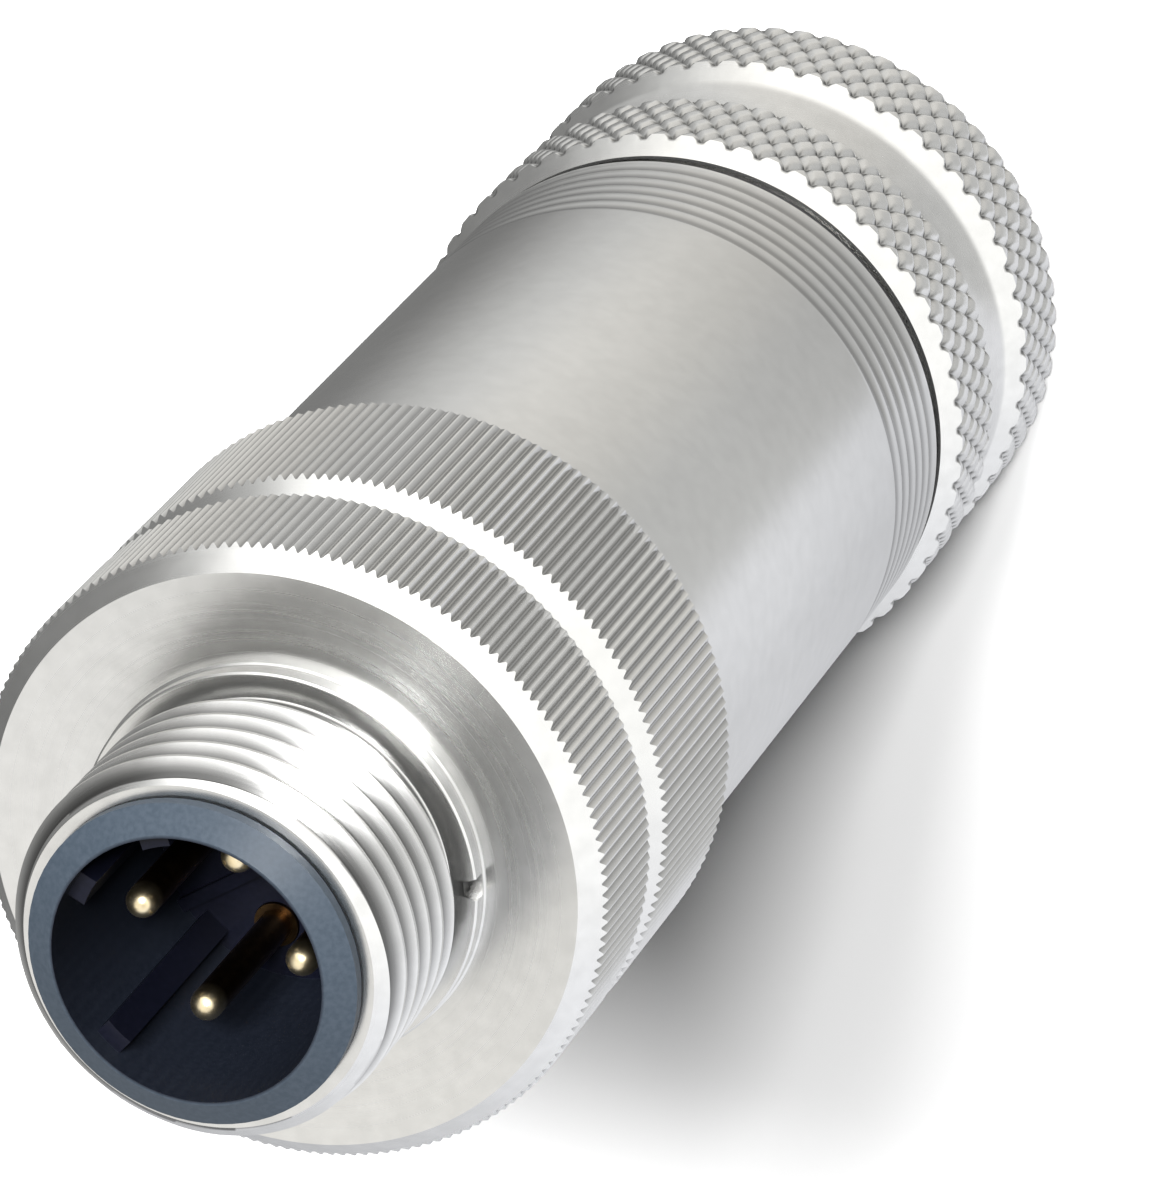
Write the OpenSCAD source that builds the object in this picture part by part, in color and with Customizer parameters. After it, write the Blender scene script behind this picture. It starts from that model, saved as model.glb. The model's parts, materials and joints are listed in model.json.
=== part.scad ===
// Straight M12 cable connector with a male thread, four contacts and a metal shell.
// It stands on the flat rear face of its gland nut, with the mating face up.
// Origin: centre of that rear face. +Z runs along the connector to the mating face.
// All sizes are in millimetres. Threads are plain cylinders at their outer radius.

/* [Lengths along the axis, from the rear face up] */
// Length of each diamond-knurled band of the gland nut
band_l = 3.5; // [2.4:0.1:5]
// Length of the plain waist between the two bands
waist_l = 2.9; // [1.5:0.1:5]
// Gap between the gland nut and the barrel, where the gasket shows
gasket_gap = 0.45; // [0.3:0.05:0.9]
// Length of the smooth barrel of the housing
barrel_l = 23.75; // [21:0.25:36]
// Length of the straight-knurled grip ring of the housing
grip_l = 7; // [6.6:0.1:12]
// Gap between the grip ring and the coupling nut
joint_gap = 0.4; // [0.2:0.05:0.8]
// Length of the coupling nut's knurled flange
flange_l = 4.8; // [4.5:0.1:8]
// Length of the plain collar between the flange and the thread
collar_l = 0.65; // [0.4:0.05:1.5]
// Length of the thread relief in front of the collar
relief_l = 0.5; // [0.3:0.05:1]
// Length of the coupling thread
thread_l = 5.75; // [5:0.25:9]
// Height of the nose lip in front of the coupling nut
lip_l = 0.8; // [0.5:0.05:1.4]

/* [Coupling thread and nose] */
// Outer radius of the coupling thread
thread_r = 6; // [5.9:0.05:6.1]
// Depth of the relief behind the thread
relief_depth = 0.55; // [0.45:0.05:0.7]
// Wall of the coupling nut between the relief and its bore
nut_wall = 0.45; // [0.35:0.05:0.6]
// How far the plain collar stands out over the thread
collar_step = 0.3; // [0.1:0.05:0.8]
// How far the nose lip stands out over the nose
lip_step = 0.19; // [0.1:0.01:0.3]
// Wall of the nose around the recess
nose_wall = 0.73; // [0.6:0.01:0.9]

/* [Walls and steps, from the bore of the inner shell out] */
// Radius of the shell's bore, which takes the insulators
shell_bore_r = 6.45; // [6.2:0.05:7]
// Wall of the shell's neck, on which the coupling nut turns
neck_wall = 1.05; // [0.95:0.05:1.3]
// How far the shell's threaded part stands out over its neck
thread_step = 0.25; // [0.15:0.05:0.4]
// Wall of the housing around the shell's threaded part
housing_wall = 1.38; // [1.1:0.02:2]
// Wall of the barrel around the wiring space
barrel_wall = 2; // [1.6:0.1:2.4]
// Step from the barrel down to its threaded rear neck
rear_step = 1.58; // [1.45:0.01:1.7]
// Wall of the rear neck
rear_neck_wall = 1.47; // [1.2:0.01:1.7]
// Height of the two straight knurls over the barrel
knurl_h = 0.8; // [0.7:0.05:1.2]
// How far the gland nut's diamonds lie inside the straight knurls
diamond_inset = 0.3; // [0:0.05:0.4]

/* [Knurls] */
// Depth of a straight knurl tooth
tooth_depth = 0.28; // [0.1:0.02:0.35]
// Number of teeth around a straight knurl
tooth_count = 104; // [60:2:120]
// Depth of the diamond knurl
diamond_depth = 0.32; // [0.15:0.01:0.4]
// Number of diamonds around a band
diamond_count = 62; // [40:2:72]
// Half rows of diamonds along a band
diamond_rows = 4; // [2:1:6]

/* [Edges] */
// Chamfer at the front of a straight knurl
front_chamfer = 0.7; // [0.3:0.05:0.9]
// Chamfer at the rear of a straight knurl
rear_chamfer = 0.35; // [0.1:0.05:0.5]
// Bevel at the foot of a diamond band
band_foot = 0.35; // [0.2:0.05:0.6]
// Bevel at the front of a diamond band
band_bevel = 0.6; // [0.3:0.05:0.9]
// Depth of the hollow waist of the gland nut
waist_depth = 0.35; // [0.1:0.05:0.6]
// Chamfer at the tip of the coupling thread
thread_chamfer = 0.5; // [0.2:0.05:0.6]
// How far the flange face is dished towards the collar
dish_depth = 0.25; // [0:0.05:0.4]
// Width of the small index notch in the collar
notch_w = 0.6; // [0.3:0.1:1]
// Angle of the index notch around the axis
notch_angle = 15; // [0:5:360]

/* [Contacts and insulators] */
// Depth of that recess below the rim
recess_depth = 8.4; // [6:0.1:8.8]
// Diameter of the circle through the four pins
pin_circle_d = 5.1; // [4.6:0.1:5.3]
// Radius of a contact pin
pin_r = 0.5; // [0.4:0.05:0.5]
// How far the pins stand up from the floor of the recess
pin_l = 6.05; // [4:0.05:7]
// Radius of a pin's shank inside the terminal block
shank_r = 0.7; // [0.6:0.05:0.8]
// Radius of a pin's wire barrel
barrel_pin_r = 1.45; // [1.2:0.05:1.5]
// Length of a wire barrel
wire_barrel_l = 8; // [6:0.5:10]
// Radius of the hole that takes the wire
wire_r = 0.8; // [0.5:0.05:0.9]
// Radius of a terminal screw's shank
screw_r = 0.7; // [0.5:0.05:0.8]
// Radius of a terminal screw's head
screw_head_r = 1.1; // [0.9:0.05:1.2]
// Free length for the wires between the shield spring and the terminal block
wire_space = 1.45; // [1:0.05:6]
// Width of the coding ribs in the recess
rib_w = 0.9; // [0.4:0.1:1.2]
// How far the coding ribs stand in from the recess wall
rib_h = 0.55; // [0.3:0.05:0.7]
// Angles of the coding ribs around the axis
rib_angles = [120, 165, 240];

/* [Inner metal shell] */
// Length of the shell's threaded part
shell_thread_l = 5.1; // [4.5:0.1:6]
// Thickness of the shell's front wall
shell_wall = 0.75; // [0.5:0.05:1]
// Thickness of the contact washer
washer_t = 0.2; // [0.1:0.05:0.25]
// Thickness of the snap ring
snap_t = 0.5; // [0.3:0.05:0.6]
// How far the snap ring stands out over the shell's neck
snap_hold = 0.45; // [0.3:0.01:0.6]

/* [Cable gland] */
// Radius of the cable hole in the gland nut
cable_r = 4.3; // [3.5:0.1:4.5]
// Length of the cable hole
cable_hole_l = 2; // [1.5:0.1:2.5]
// Radius of the hole through the cable seal
seal_hole_r = 3.3; // [3.1:0.1:3.8]
// Length of the cable seal
seal_l = 5.2; // [4:0.1:6]
// Length of the solid shoulder between the barrel's rear face and the wiring space
shoulder_l = 4.2; // [2:0.1:5]
// Length of the shield spring
spring_l = 6.5; // [5:0.1:8]
// Number of fingers on the clamping cage
finger_count = 8; // [6:1:10]
// Width of the slots between the fingers
finger_slot = 0.8; // [0.4:0.1:1.2]

/* [Clearances] */
// Radial clearance of a turning fit
run_gap = 0.07; // [0.03:0.01:0.09]
// Clearance between pieces that sit together
seat_gap = 0.05; // [0.02:0.01:0.1]

/* [Hidden] */
$fn = 96;
eps = 0.01;
cut = 1; // how far a cutter runs past the face that it opens
contact_count = 4;

// Radii of the coupling nut and the nose, from the thread inwards.
relief_r = thread_r - relief_depth;
collar_r = thread_r + collar_step;
nut_bore_r = relief_r - nut_wall;
nose_r = nut_bore_r - run_gap;
lip_r = nose_r + lip_step;
recess_r = nose_r - nose_wall;

// Radii of the shell, the housing and the gland nut, from the shell's bore outwards.
block_r = shell_bore_r - seat_gap;
neck_r = shell_bore_r + neck_wall;
snap_r = neck_r + snap_hold;
shell_thread_r = neck_r + thread_step;
barrel_r = shell_thread_r + run_gap + housing_wall;
knurl_r = barrel_r + knurl_h;
diamond_r = knurl_r - diamond_inset;
cavity_r = barrel_r - barrel_wall;
gland_thread_r = barrel_r - rear_step;
gland_bore_r = gland_thread_r - rear_neck_wall;

// Heights of the joints between the visible pieces.
gland_nut_l = 2 * (band_l + band_foot + band_bevel) + waist_l;
barrel_z = gland_nut_l + gasket_gap;
grip_z = barrel_z + barrel_l;
joint_z = grip_z + grip_l;
flange_z = joint_z + joint_gap;
face_z = flange_z + flange_l;
collar_z = face_z - dish_depth;
relief_z = collar_z + collar_l;
thread_z = relief_z + relief_l;
nut_top_z = thread_z + thread_l;
lip_z = nut_top_z + 2 * seat_gap;
top_z = lip_z + lip_l;
floor_z = top_z - recess_depth;

// Gland nut.
band_land = 0.25;
band_core_r = diamond_r - diamond_depth - band_land;
nut_floor_l = 4.8;
cone_land = 0.6;
cone_top_z = nut_floor_l - cone_land;
cone_top_r = gland_bore_r + 0.15;
cone_foot_r = cable_r + 0.6;

// Clamping cage and the rear neck of the housing.
slip_t = 0.3;
cage_collar_t = 0.45;
slip_z = nut_floor_l + seat_gap;
cage_z = slip_z + slip_t + seat_gap;
neck_end_z = cage_z + cage_collar_t + seat_gap;
cage_r = gland_thread_r - 0.3;
finger_gap = 0.2;
finger_r = cone_top_r - finger_gap;
finger_lift = 0.3;
finger_tip_z = cable_hole_l + finger_lift;
finger_tip_r = cone_foot_r - finger_gap
    + (cone_top_r - cone_foot_r) * finger_lift / (cone_top_z - cable_hole_l);
finger_in_r = cable_r + 0.1;
seal_z = neck_end_z + seat_gap;
shield_ring_z = seal_z + seal_l + seat_gap;
shield_ring_t = 1.3;
cavity_z = barrel_z + shoulder_l;
spring_z = cavity_z + seat_gap;
spring_wall = 0.3;

// Inner shell, coupling nut bore and what they hold.
nut_web = 1.2;
pocket_top_z = face_z - nut_web;
pocket_r = neck_r + run_gap;
shell_top_z = pocket_top_z - washer_t - 3 * seat_gap;
snap_rise = 1.2;
snap_z = flange_z + snap_rise;
snap_groove_r = neck_r - 0.5;
o_ring_section_r = 0.45;
o_ring_drop = 1;
o_ring_z = joint_z - o_ring_drop;
o_ring_r = neck_r - 0.22;
o_groove_r = o_ring_r - o_ring_section_r - seat_gap;
o_groove_half = o_ring_section_r + seat_gap;
thread_land = 0.5;
shell_thread_z = o_ring_z - o_groove_half - thread_land;
shell_z = shell_thread_z - shell_thread_l;
seal_pocket_r = o_ring_r + o_ring_section_r + 0.12;
carrier_top_z = shell_top_z - shell_wall;
carrier_seal_r = 0.32;
carrier_flange_z = carrier_top_z - 2 * carrier_seal_r - 2 * seat_gap;
carrier_flange_t = 0.8;
carrier_z = carrier_flange_z - carrier_flange_t;
block_top_z = carrier_z - seat_gap;
block_z = spring_z + spring_l + wire_space;
block_step_h = 2;
block_step_z = shell_z + block_step_h;
block_low_r = block_r - 0.45;
pin_pitch_r = pin_circle_d / 2;
pin_shoulder_z = floor_z + 0.1;
wire_barrel_rise = 1.6;
wire_barrel_z = block_z + wire_barrel_rise;
wire_barrel_top = wire_barrel_z + wire_barrel_l;
screw_rise = 2.4;
screw_z = wire_barrel_z + screw_rise;
screw_head_l = 1.3;
screw_out_r = block_low_r - 0.15;

// A point at radius r and angle a, at height z.
function polar(r, a, z) = [r * cos(a), r * sin(a), z];

// Solid of revolution from a list of [radius, height] points.
module turned(points) {
    rotate_extrude() polygon(points);
}

// Plain ring between two radii and two heights.
module ring(r_in, r_out, z0, z1) {
    turned([[r_in, z0], [r_out, z0], [r_out, z1], [r_in, z1]]);
}

// Round ring of section radius s on a circle of radius r.
module o_ring(r, s, z) {
    translate([0, 0, z]) rotate_extrude() translate([r, 0]) circle(s, $fn = 32);
}

// Copies the children around the axis, one to each contact.
module at_contacts() {
    for (i = [0 : contact_count - 1]) rotate(i * 360 / contact_count) children();
}

// Straight-toothed prism, trimmed by the chamfers at its two ends.
module straight_knurl(z0, z1, foot_r, top_r) {
    root_r = knurl_r - tooth_depth;
    step = 360 / tooth_count;
    outline = [for (i = [0 : tooth_count - 1]) each [
        [knurl_r * cos(i * step), knurl_r * sin(i * step)],
        [root_r * cos((i + 0.5) * step), root_r * sin((i + 0.5) * step)]]];
    intersection() {
        translate([0, 0, z0]) linear_extrude(z1 - z0) polygon(outline);
        turned([[0, z0], [foot_r, z0], [knurl_r + eps, z0 + knurl_r + eps - foot_r],
            [knurl_r + eps, z1 - (knurl_r + eps - top_r)], [top_r, z1], [0, z1]]);
    }
}

// Ring of pointed diamonds. Points of the grid stand at the tip or the root radius in turn,
// so that two families of grooves cross between the tips. Bevels run down to the core.
module diamond_band(z0) {
    cols = 2 * diamond_count;
    rows = diamond_rows;
    core_r = band_core_r - 0.1;
    grid = [for (j = [0 : rows]) for (i = [0 : cols - 1])
        polar((i + j) % 2 == 1 ? diamond_r : diamond_r - diamond_depth,
            i * 360 / cols, z0 + j * band_l / rows)];
    top = [for (i = [0 : cols - 1]) polar(core_r, i * 360 / cols, z0 + band_l + band_bevel)];
    foot = [for (i = [0 : cols - 1]) polar(core_r, i * 360 / cols, z0 - band_foot)];
    function at(j, i) = j * cols + i % cols;
    field = [for (j = [0 : rows - 1]) for (i = [0 : cols - 1]) each (i + j) % 2 == 0
        ? [[at(j, i), at(j + 1, i), at(j + 1, i + 1)], [at(j, i), at(j + 1, i + 1), at(j, i + 1)]]
        : [[at(j, i), at(j + 1, i), at(j, i + 1)], [at(j + 1, i), at(j + 1, i + 1), at(j, i + 1)]]];
    top_row = rows + 1;
    foot_row = rows + 2;
    ends = [for (i = [0 : cols - 1]) each [
        [at(rows, i), at(top_row, i), at(top_row, i + 1)],
        [at(rows, i), at(top_row, i + 1), at(rows, i + 1)],
        [at(foot_row, i), at(0, i), at(0, i + 1)],
        [at(foot_row, i), at(0, i + 1), at(foot_row, i + 1)],
        [at(top_row, i), at(foot_row, i), at(foot_row, i + 1)],
        [at(top_row, i), at(foot_row, i + 1), at(top_row, i + 1)]]];
    polyhedron(concat(grid, top, foot), concat(field, ends));
}

// Coupling nut: thread, relief, collar and knurled flange, bored to turn on the shell's neck.
module coupling_nut() {
    tip_r = thread_r - thread_chamfer;
    snap_room = 0.15;
    notch_depth = 0.4;
    notch_rise = 0.15;
    color("silver") difference() {
        union() {
            straight_knurl(flange_z, face_z, knurl_r - rear_chamfer, knurl_r - front_chamfer);
            turned([[0, collar_z], [collar_r, collar_z], [collar_r, relief_z], [relief_r, relief_z],
                [relief_r, thread_z], [thread_r, thread_z + thread_r - relief_r],
                [thread_r, nut_top_z - thread_chamfer], [tip_r, nut_top_z], [0, nut_top_z]]);
        }
        // The flange face is dished towards the collar.
        turned([[collar_r, collar_z], [knurl_r - front_chamfer, face_z], [knurl_r, face_z + cut],
            [collar_r, face_z + cut]]);
        turned([[0, flange_z - cut], [pocket_r, flange_z - cut], [pocket_r, pocket_top_z],
            [nut_bore_r, pocket_top_z], [nut_bore_r, nut_top_z + cut], [0, nut_top_z + cut]]);
        ring(neck_r, snap_r + snap_room, snap_z - snap_room, snap_z + snap_t + snap_room);
        rotate(notch_angle) translate([collar_r - notch_depth, -notch_w / 2, collar_z + notch_rise])
            cube([notch_depth + cut, notch_w, collar_l]);
    }
}

// Split ring that holds the coupling nut on the shell.
module nut_snap_ring() {
    split_w = 3;
    color("gray") difference() {
        ring(snap_groove_r + seat_gap, snap_r, snap_z, snap_z + snap_t);
        translate([0, -split_w / 2, snap_z - cut]) cube([knurl_r, split_w, snap_t + 2 * cut]);
    }
}

// Thin washer that carries the shield current from the shell to the coupling nut.
module contact_washer() {
    color("gold") ring(nose_r + 0.35, neck_r - 0.3, shell_top_z + seat_gap,
        shell_top_z + seat_gap + washer_t);
}

// Metal shell around the insulator: neck for the coupling nut, seal groove and thread.
module front_shell() {
    lead_in = 0.3;
    edge = 0.2;
    color("gainsboro") difference() {
        turned([[0, shell_z], [shell_thread_r - lead_in, shell_z],
            [shell_thread_r, shell_z + lead_in], [shell_thread_r, shell_thread_z],
            [neck_r, shell_thread_z], [neck_r, shell_top_z - edge], [neck_r - edge, shell_top_z],
            [0, shell_top_z]]);
        turned([[0, shell_z - cut], [shell_bore_r, shell_z - cut], [shell_bore_r, carrier_top_z],
            [nose_r + run_gap, carrier_top_z], [nose_r + run_gap, shell_top_z + cut],
            [0, shell_top_z + cut]]);
        ring(snap_groove_r, neck_r + cut, snap_z - seat_gap, snap_z + snap_t + seat_gap);
        ring(o_groove_r, neck_r + cut, o_ring_z - o_groove_half, o_ring_z + o_groove_half);
    }
}

// Seal between the shell and the housing.
module front_o_ring() {
    color("black") o_ring(o_ring_r, o_ring_section_r, o_ring_z);
}

// Front insulator: nose with its lip, recess, coding ribs and the holes for the pins.
module contact_carrier() {
    rim_r = recess_r + 0.1;
    lip_bevel_h = 0.45;
    lip_edge_z = top_z - lip_bevel_h;
    rib_drop = 0.7;
    cross_w = 0.4;
    cross_h = 0.3;
    root = 0.2; // how far the ribs and the cross run into the wall or the floor
    color("darkslategray") difference() {
        union() {
            turned([[0, carrier_z], [block_r, carrier_z], [block_r, carrier_flange_z],
                [nose_r, carrier_flange_z], [nose_r, lip_z], [lip_r, lip_z], [lip_r, lip_edge_z],
                [rim_r, top_z], [recess_r, top_z], [recess_r, floor_z], [0, floor_z]]);
            for (a = rib_angles) intersection() {
                ring(recess_r - rib_h, recess_r + root, floor_z - root, top_z - rib_drop);
                rotate(a) translate([0, -rib_w / 2, floor_z - cut])
                    cube([lip_r, rib_w, recess_depth + cut]);
            }
            // Raised cross between the pins on the floor of the recess.
            for (a = [1, 3]) rotate(a * 180 / contact_count)
                translate([-recess_r, -cross_w / 2, floor_z - root])
                    cube([2 * recess_r, cross_w, cross_h + root]);
        }
        at_contacts() translate([pin_pitch_r, 0, carrier_z - cut])
            cylinder(r = shank_r + seat_gap / 2, h = floor_z - carrier_z + 2 * cut);
    }
}

// Seal between the insulator's flange and the shell's front wall.
module carrier_seal() {
    color("black") o_ring((nose_r + block_r) / 2, carrier_seal_r,
        carrier_flange_z + carrier_seal_r + seat_gap);
}

// Rear insulator: holds the wire barrels, with a hole for each screw and grooves for the wires.
module terminal_block() {
    groove_r = 1.2;
    groove_stop = 0.8;
    edge = 0.4;
    color("dimgray") difference() {
        turned([[0, block_z], [block_low_r - edge, block_z], [block_low_r, block_z + edge],
            [block_low_r, block_step_z], [block_r, block_step_z], [block_r, block_top_z],
            [0, block_top_z]]);
        at_contacts() {
            translate([pin_pitch_r, 0, block_z - cut])
                cylinder(r = barrel_pin_r + seat_gap, h = wire_barrel_top + seat_gap - block_z + cut);
            translate([pin_pitch_r, 0, block_z])
                cylinder(r = shank_r + seat_gap / 2, h = block_top_z - block_z + cut);
            translate([pin_pitch_r, 0, screw_z]) rotate([0, 90, 0])
                cylinder(r = screw_head_r + seat_gap, h = block_r);
            rotate(180 / contact_count) translate([block_low_r, 0, block_z - cut])
                cylinder(r = groove_r, h = shell_z - groove_stop - block_z + cut);
        }
    }
}

// Threaded ring that holds the terminal block in the shell.
module lock_ring() {
    ring_z = shell_z + 0.3;
    slot_w = 1;
    slot_depth = 0.6;
    color("silver") difference() {
        ring(block_low_r + seat_gap, shell_bore_r - seat_gap / 2, ring_z, block_step_z - seat_gap);
        for (a = [0, 90]) rotate(a) translate([-knurl_r, -slot_w / 2, ring_z - cut])
            cube([2 * knurl_r, slot_w, slot_depth + cut]);
    }
}

// Contact pin with a domed tip, its shank and its wire barrel with the tapped hole.
module contact_pin(index) {
    tip_z = floor_z + pin_l;
    wire_hole_l = wire_barrel_l - 2;
    color("gold") rotate((index - 1) * 360 / contact_count) translate([pin_pitch_r, 0, 0])
        difference() {
            union() {
                translate([0, 0, wire_barrel_z]) cylinder(r = barrel_pin_r, h = wire_barrel_l);
                translate([0, 0, wire_barrel_top - cut])
                    cylinder(r = shank_r, h = pin_shoulder_z - wire_barrel_top + cut);
                translate([0, 0, pin_shoulder_z - cut])
                    cylinder(r = pin_r, h = tip_z - pin_r - pin_shoulder_z + cut, $fn = 48);
                translate([0, 0, tip_z - pin_r]) sphere(pin_r, $fn = 48);
            }
            translate([0, 0, wire_barrel_z - cut]) cylinder(r = wire_r, h = wire_hole_l + cut);
            translate([0, 0, screw_z]) rotate([0, 90, 0])
                cylinder(r = screw_r + seat_gap, h = barrel_pin_r + cut);
        }
}

module contact_pin_1() {
    contact_pin(1);
}

module contact_pin_2() {
    contact_pin(2);
}

module contact_pin_3() {
    contact_pin(3);
}

module contact_pin_4() {
    contact_pin(4);
}

// Four slotted screws, each pointing at a wire barrel from the side.
module terminal_screws() {
    shank_in_r = pin_pitch_r + wire_r + 0.1;
    head_in_r = screw_out_r - screw_head_l;
    slot_w = 0.4;
    slot_depth = 0.6;
    color("silver") at_contacts() translate([0, 0, screw_z]) rotate([0, 90, 0]) difference() {
        union() {
            translate([0, 0, shank_in_r]) cylinder(r = screw_r, h = screw_out_r - shank_in_r);
            translate([0, 0, head_in_r]) cylinder(r = screw_head_r, h = screw_head_l);
        }
        translate([-slot_w / 2, -screw_head_r - cut, screw_out_r - slot_depth])
            cube([slot_w, 2 * (screw_head_r + cut), slot_depth + cut]);
    }
}

// Housing: knurled grip ring, smooth barrel and the threaded neck that takes the gland nut.
module housing() {
    edge = 0.2;
    neck_bevel = 0.4;
    runout = 0.5;
    color("lightgray") difference() {
        union() {
            straight_knurl(grip_z, joint_z, barrel_r + eps, knurl_r - front_chamfer);
            turned([[0, neck_end_z], [gland_thread_r - neck_bevel, neck_end_z],
                [gland_thread_r, neck_end_z + neck_bevel], [gland_thread_r, barrel_z],
                [barrel_r - edge, barrel_z], [barrel_r, barrel_z + edge],
                [barrel_r, grip_z + cut], [0, grip_z + cut]]);
        }
        turned([[0, neck_end_z - cut], [gland_bore_r, neck_end_z - cut], [gland_bore_r, cavity_z],
            [cavity_r, cavity_z], [cavity_r, shell_z - 3 * runout],
            [shell_thread_r + run_gap, shell_z - 2 * runout],
            [shell_thread_r + run_gap, shell_thread_z + edge],
            [seal_pocket_r, shell_thread_z + runout], [seal_pocket_r, joint_z - edge],
            [seal_pocket_r + edge, joint_z], [seal_pocket_r + edge, joint_z + cut],
            [0, joint_z + cut]]);
    }
}

// Sprung metal sleeve: its fingers close on the braid of a shielded cable.
module shield_spring() {
    tip_r = seal_hole_r + 0.9; // a little over the braid of the thickest cable
    base_l = 2;
    base_r = cavity_r - seat_gap;
    color("goldenrod") difference() {
        turned([[base_r - spring_wall, spring_z], [base_r, spring_z], [base_r, spring_z + base_l],
            [tip_r + spring_wall, spring_z + spring_l], [tip_r, spring_z + spring_l],
            [base_r - spring_wall, spring_z + base_l]]);
        for (i = [0 : finger_count - 1]) rotate(i * 360 / finger_count)
            translate([0, -finger_slot / 2, spring_z + base_l])
                cube([cavity_r + cut, finger_slot, spring_l]);
    }
}

// Metal ring that presses on the cable seal, with a funnel for the cable.
module shield_ring() {
    hole_r = seal_hole_r + 0.3;
    out_r = gland_bore_r - seat_gap;
    ring_top_z = shield_ring_z + shield_ring_t;
    color("silver") turned([[hole_r, shield_ring_z], [out_r, shield_ring_z], [out_r, ring_top_z],
        [hole_r + 0.9, ring_top_z]]);
}

// Ribbed rubber bush that grips the cable.
module cable_seal() {
    out_r = gland_bore_r - seat_gap;
    rib_count = 4;
    rib_pitch = seal_l / rib_count;
    valley_r = rib_pitch / 3;
    valley_rise = 0.1;
    color("black") difference() {
        ring(seal_hole_r, out_r, seal_z, seal_z + seal_l);
        for (i = [0 : rib_count - 1])
            o_ring(out_r + valley_rise, valley_r, seal_z + (i + 0.5) * rib_pitch);
        for (i = [1 : rib_count - 1])
            o_ring(seal_hole_r - valley_rise, valley_r, seal_z + i * rib_pitch);
    }
}

// Plastic cage: collar on the rear neck and fingers that the gland nut's cone bends inwards.
module clamping_cage() {
    tip_wall = 0.4;
    slot_stop = 0.1;
    color("whitesmoke") difference() {
        turned([[finger_tip_r - tip_wall, finger_tip_z], [finger_tip_r, finger_tip_z],
            [finger_r, cone_top_z], [finger_r, cage_z], [cage_r, cage_z],
            [cage_r, cage_z + cage_collar_t], [finger_in_r, cage_z + cage_collar_t],
            [finger_in_r, cone_top_z]]);
        for (i = [0 : finger_count - 1]) rotate((i + 0.5) * 360 / finger_count)
            translate([0, -finger_slot / 2, 0]) cube([cage_r, finger_slot, cage_z - slot_stop]);
    }
}

// Slip washer between the gland nut and the cage, so that the cage doesn't turn with the nut.
module slip_washer() {
    hole_gap = 0.15;
    color("white") ring(finger_r + hole_gap, cage_r, slip_z, slip_z + slip_t);
}

// Flat gasket in the gap between the gland nut and the barrel.
module gland_gasket() {
    inset = 0.25;
    color("black") ring(gland_thread_r + seat_gap, barrel_r - inset, gland_nut_l + seat_gap,
        barrel_z - seat_gap);
}

// Gland nut: two diamond-knurled bands, a hollow waist, the inner thread and the clamping cone.
module gland_nut() {
    waist_z = band_foot + band_l + band_bevel;
    waist_arc_r = (waist_l * waist_l / 4 + waist_depth * waist_depth) / (2 * waist_depth);
    hole_edge = 0.3;
    color("lightgray") difference() {
        union() {
            difference() {
                cylinder(r = band_core_r, h = gland_nut_l);
                translate([0, 0, waist_z + waist_l / 2]) rotate_extrude()
                    translate([band_core_r + waist_arc_r - waist_depth, 0]) circle(waist_arc_r);
            }
            diamond_band(band_foot);
            diamond_band(waist_z + waist_l + band_foot);
        }
        turned([[0, -cut], [cable_r + hole_edge, -cut], [cable_r + hole_edge, 0],
            [cable_r, hole_edge], [cable_r, cable_hole_l], [cone_foot_r, cable_hole_l],
            [cone_top_r, cone_top_z], [cone_top_r, nut_floor_l],
            [gland_thread_r + run_gap, nut_floor_l], [gland_thread_r + run_gap, gland_nut_l + cut],
            [0, gland_nut_l + cut]]);
    }
}

coupling_nut();
nut_snap_ring();
contact_washer();
front_shell();
front_o_ring();
contact_carrier();
carrier_seal();
terminal_block();
lock_ring();
contact_pin_1();
contact_pin_2();
contact_pin_3();
contact_pin_4();
terminal_screws();
housing();
shield_spring();
shield_ring();
cable_seal();
clamping_cage();
slip_washer();
gland_gasket();
gland_nut();
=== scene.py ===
"""Looks of a straight M12 cable connector: nickel-plated nuts and housing, gold-plated
pins, moulded insulators and a black gasket.

The connector stands on the rear face of its gland nut, with +Z along its axis. Profiles
are in millimetres; a finished mesh is in metres.
"""
import json
from math import atan2, cos, radians, sin, tau

import bpy
import numpy as np
from mathutils import Matrix, Vector


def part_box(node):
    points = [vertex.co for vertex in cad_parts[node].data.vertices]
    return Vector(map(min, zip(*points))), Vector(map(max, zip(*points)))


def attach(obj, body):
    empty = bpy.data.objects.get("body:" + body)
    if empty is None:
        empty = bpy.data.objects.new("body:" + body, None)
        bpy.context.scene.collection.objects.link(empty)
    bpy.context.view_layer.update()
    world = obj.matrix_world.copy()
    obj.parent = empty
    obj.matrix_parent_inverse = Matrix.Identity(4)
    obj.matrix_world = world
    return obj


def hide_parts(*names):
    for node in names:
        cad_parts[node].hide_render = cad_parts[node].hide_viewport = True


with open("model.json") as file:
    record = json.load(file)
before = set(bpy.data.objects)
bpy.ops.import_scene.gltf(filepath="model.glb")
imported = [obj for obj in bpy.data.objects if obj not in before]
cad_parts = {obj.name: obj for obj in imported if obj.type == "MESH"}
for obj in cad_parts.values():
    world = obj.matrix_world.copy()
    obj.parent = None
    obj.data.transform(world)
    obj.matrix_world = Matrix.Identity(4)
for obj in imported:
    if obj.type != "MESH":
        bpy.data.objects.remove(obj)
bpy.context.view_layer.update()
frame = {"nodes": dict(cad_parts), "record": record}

MM = 0.001

# Lights, in watts: the key, a light that the metal doesn't mirror, and the fill.
KEY_POWER = 3.6
FLOOR_POWER = 5.5
FILL_POWER = 0.7
LIGHT_DISTANCE = 0.6


def span(node):
    """Lowest height, highest height and greatest radius of a CAD node, in millimetres."""
    low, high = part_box(node)
    return low.z / MM, high.z / MM, high.x / MM


# ---------------------------------------------------------------- camera and light

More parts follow.
